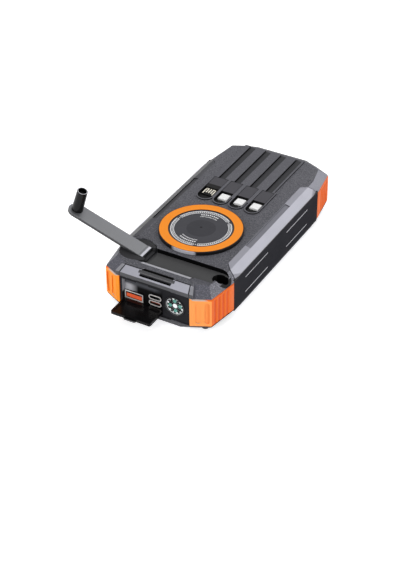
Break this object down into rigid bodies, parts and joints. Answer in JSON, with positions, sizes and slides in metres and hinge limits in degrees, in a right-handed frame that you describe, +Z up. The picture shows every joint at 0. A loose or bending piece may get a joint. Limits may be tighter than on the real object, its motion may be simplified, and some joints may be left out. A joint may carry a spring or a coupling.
{
  "type": "hand crank solar power bank",
  "caption": "Rugged solar power bank with a fold-out hand crank, wireless charging pad, built-in leads, covered sockets, compass and torch.",
  "frame": {"origin": "middle of the underside, where the solar panel faces down", "axes": "+X to the right seen from the socket end, +Y towards the torch end, +Z up through the wireless pad"},
  "size_m": [0.1204, 0.1965, 0.0667],
  "materials": {
    "charcoal_shell": "moulded, fine grain",
    "black_plastic": "satin",
    "side_black": "satin",
    "silver_rail": "metallic paint, satin",
    "bumper_orange": "soft touch",
    "ring_orange": "satin",
    "deck_grey": "moulded, fine grain",
    "lead_rubber": "matte",
    "white_plastic": "gloss",
    "arm_grey": "satin paint",
    "steel": "bright",
    "brass": "plain",
    "copper_wire": "wound wire",
    "gear_plastic": "moulded",
    "tongue_orange": "satin",
    "clear_glass": "clear",
    "reflector": "mirror",
    "led_white": "gloss",
    "led_red": "gloss",
    "dial_white": "printed",
    "needle_red": "paint",
    "solar_black": "gloss",
    "board_green": "solder mask",
    "battery_foil": "foil",
    "magnet": "plated"
  },
  "bodies": {
    "housing": {"top_shell": "charcoal_shell", "bottom_shell": "charcoal_shell", "left_side_panel": "side_black", "right_side_panel": "side_black", "top_rails": "silver_rail", "bottom_rails": "silver_rail", "front_left_bumper": "bumper_orange", "front_right_bumper": "bumper_orange", "rear_left_bumper": "bumper_orange", "rear_right_bumper": "bumper_orange", "port_plate": "side_black", "torch_plate": "side_black", "front_trims": "silver_rail", "rear_trims": "silver_rail", "lanyard_bar": "black_plastic", "usb_a_socket": "steel", "usb_a_tongue": "tongue_orange", "usb_c_sockets": "steel", "usb_c_tongues": "tongue_orange", "compass_case": "black_plastic", "compass_dial": "dial_white", "compass_needle": "needle_red", "compass_glass": "clear_glass", "torch_reflectors": "reflector", "torch_lenses": "clear_glass", "torch_leds": "led_white", "warning_led": "led_red", "charging_pad": "black_plastic", "pad_ring": "ring_orange", "pad_disc": "lead_rubber", "wireless_coil": "copper_wire", "magnet_ring": "magnet", "cable_deck": "deck_grey", "charging_leads": "lead_rubber", "usb_a_plug": "black_plastic", "lead_plugs": "white_plastic", "solar_frame": "silver_rail", "solar_glass": "clear_glass", "solar_cells": "solar_black", "solar_board": "board_green", "battery_cells": "battery_foil", "main_board": "board_green", "generator_can": "steel", "stator_coils": "copper_wire", "gearbox_plate": "gear_plastic", "idler_axle": "steel", "shell_screws": "steel", "charge_lights": "led_white", "cover_pin": "steel"},
    "crank": {"turntable": "black_plastic", "drive_gear": "gear_plastic", "crank_screw": "steel", "arm_pin": "steel"},
    "arm": {"crank_arm": "arm_grey", "knob_stud": "steel"},
    "knob": {"knob": "black_plastic"},
    "idler": {"idler_gear": "gear_plastic"},
    "rotor": {"generator_rotor": "steel"},
    "cover": {"port_cover": "black_plastic"},
    "button": {"power_button": "black_plastic"}
  },
  "joints": [
    {"name": "crank_spin", "type": "hinge", "parent": "housing", "child": "crank", "pos_m": [-0.0258, -0.0651, 0.032], "axis": [0, 0, 1], "continuous": true},
    {"name": "arm_fold", "type": "hinge", "parent": "crank", "child": "arm", "pos_m": [-0.0201, -0.0651, 0.0325], "axis": [0, 1, 0], "range_deg": [0, 162.5]},
    {"name": "knob_spin", "type": "hinge", "parent": "arm", "child": "knob", "pos_m": [-0.07198, -0.0651, 0.04886], "axis": [0.3007, 0, 0.9537], "continuous": true},
    {"name": "idler_spin", "type": "hinge", "parent": "housing", "child": "idler", "pos_m": [-0.01171, -0.05997, 0.022], "axis": [0, 0, 1], "continuous": true},
    {"name": "rotor_spin", "type": "hinge", "parent": "housing", "child": "rotor", "pos_m": [0.00053, -0.05426, 0.012], "axis": [0, 0, 1], "continuous": true},
    {"name": "cover_hinge", "type": "hinge", "parent": "housing", "child": "cover", "pos_m": [-0.0092, -0.0872, 0.0088], "axis": [-1, 0, 0], "range_deg": [0, 90]},
    {"name": "button_press", "type": "slide", "parent": "housing", "child": "button", "axis": [1, 0, 0], "range_m": [0, 0.0008], "stiffness_N_per_m": 400}
  ],
  "couplings": [
    {"joint": "idler_spin", "follows": "crank_spin", "ratio": -4},
    {"joint": "rotor_spin", "follows": "crank_spin", "ratio": 14}
  ]
}
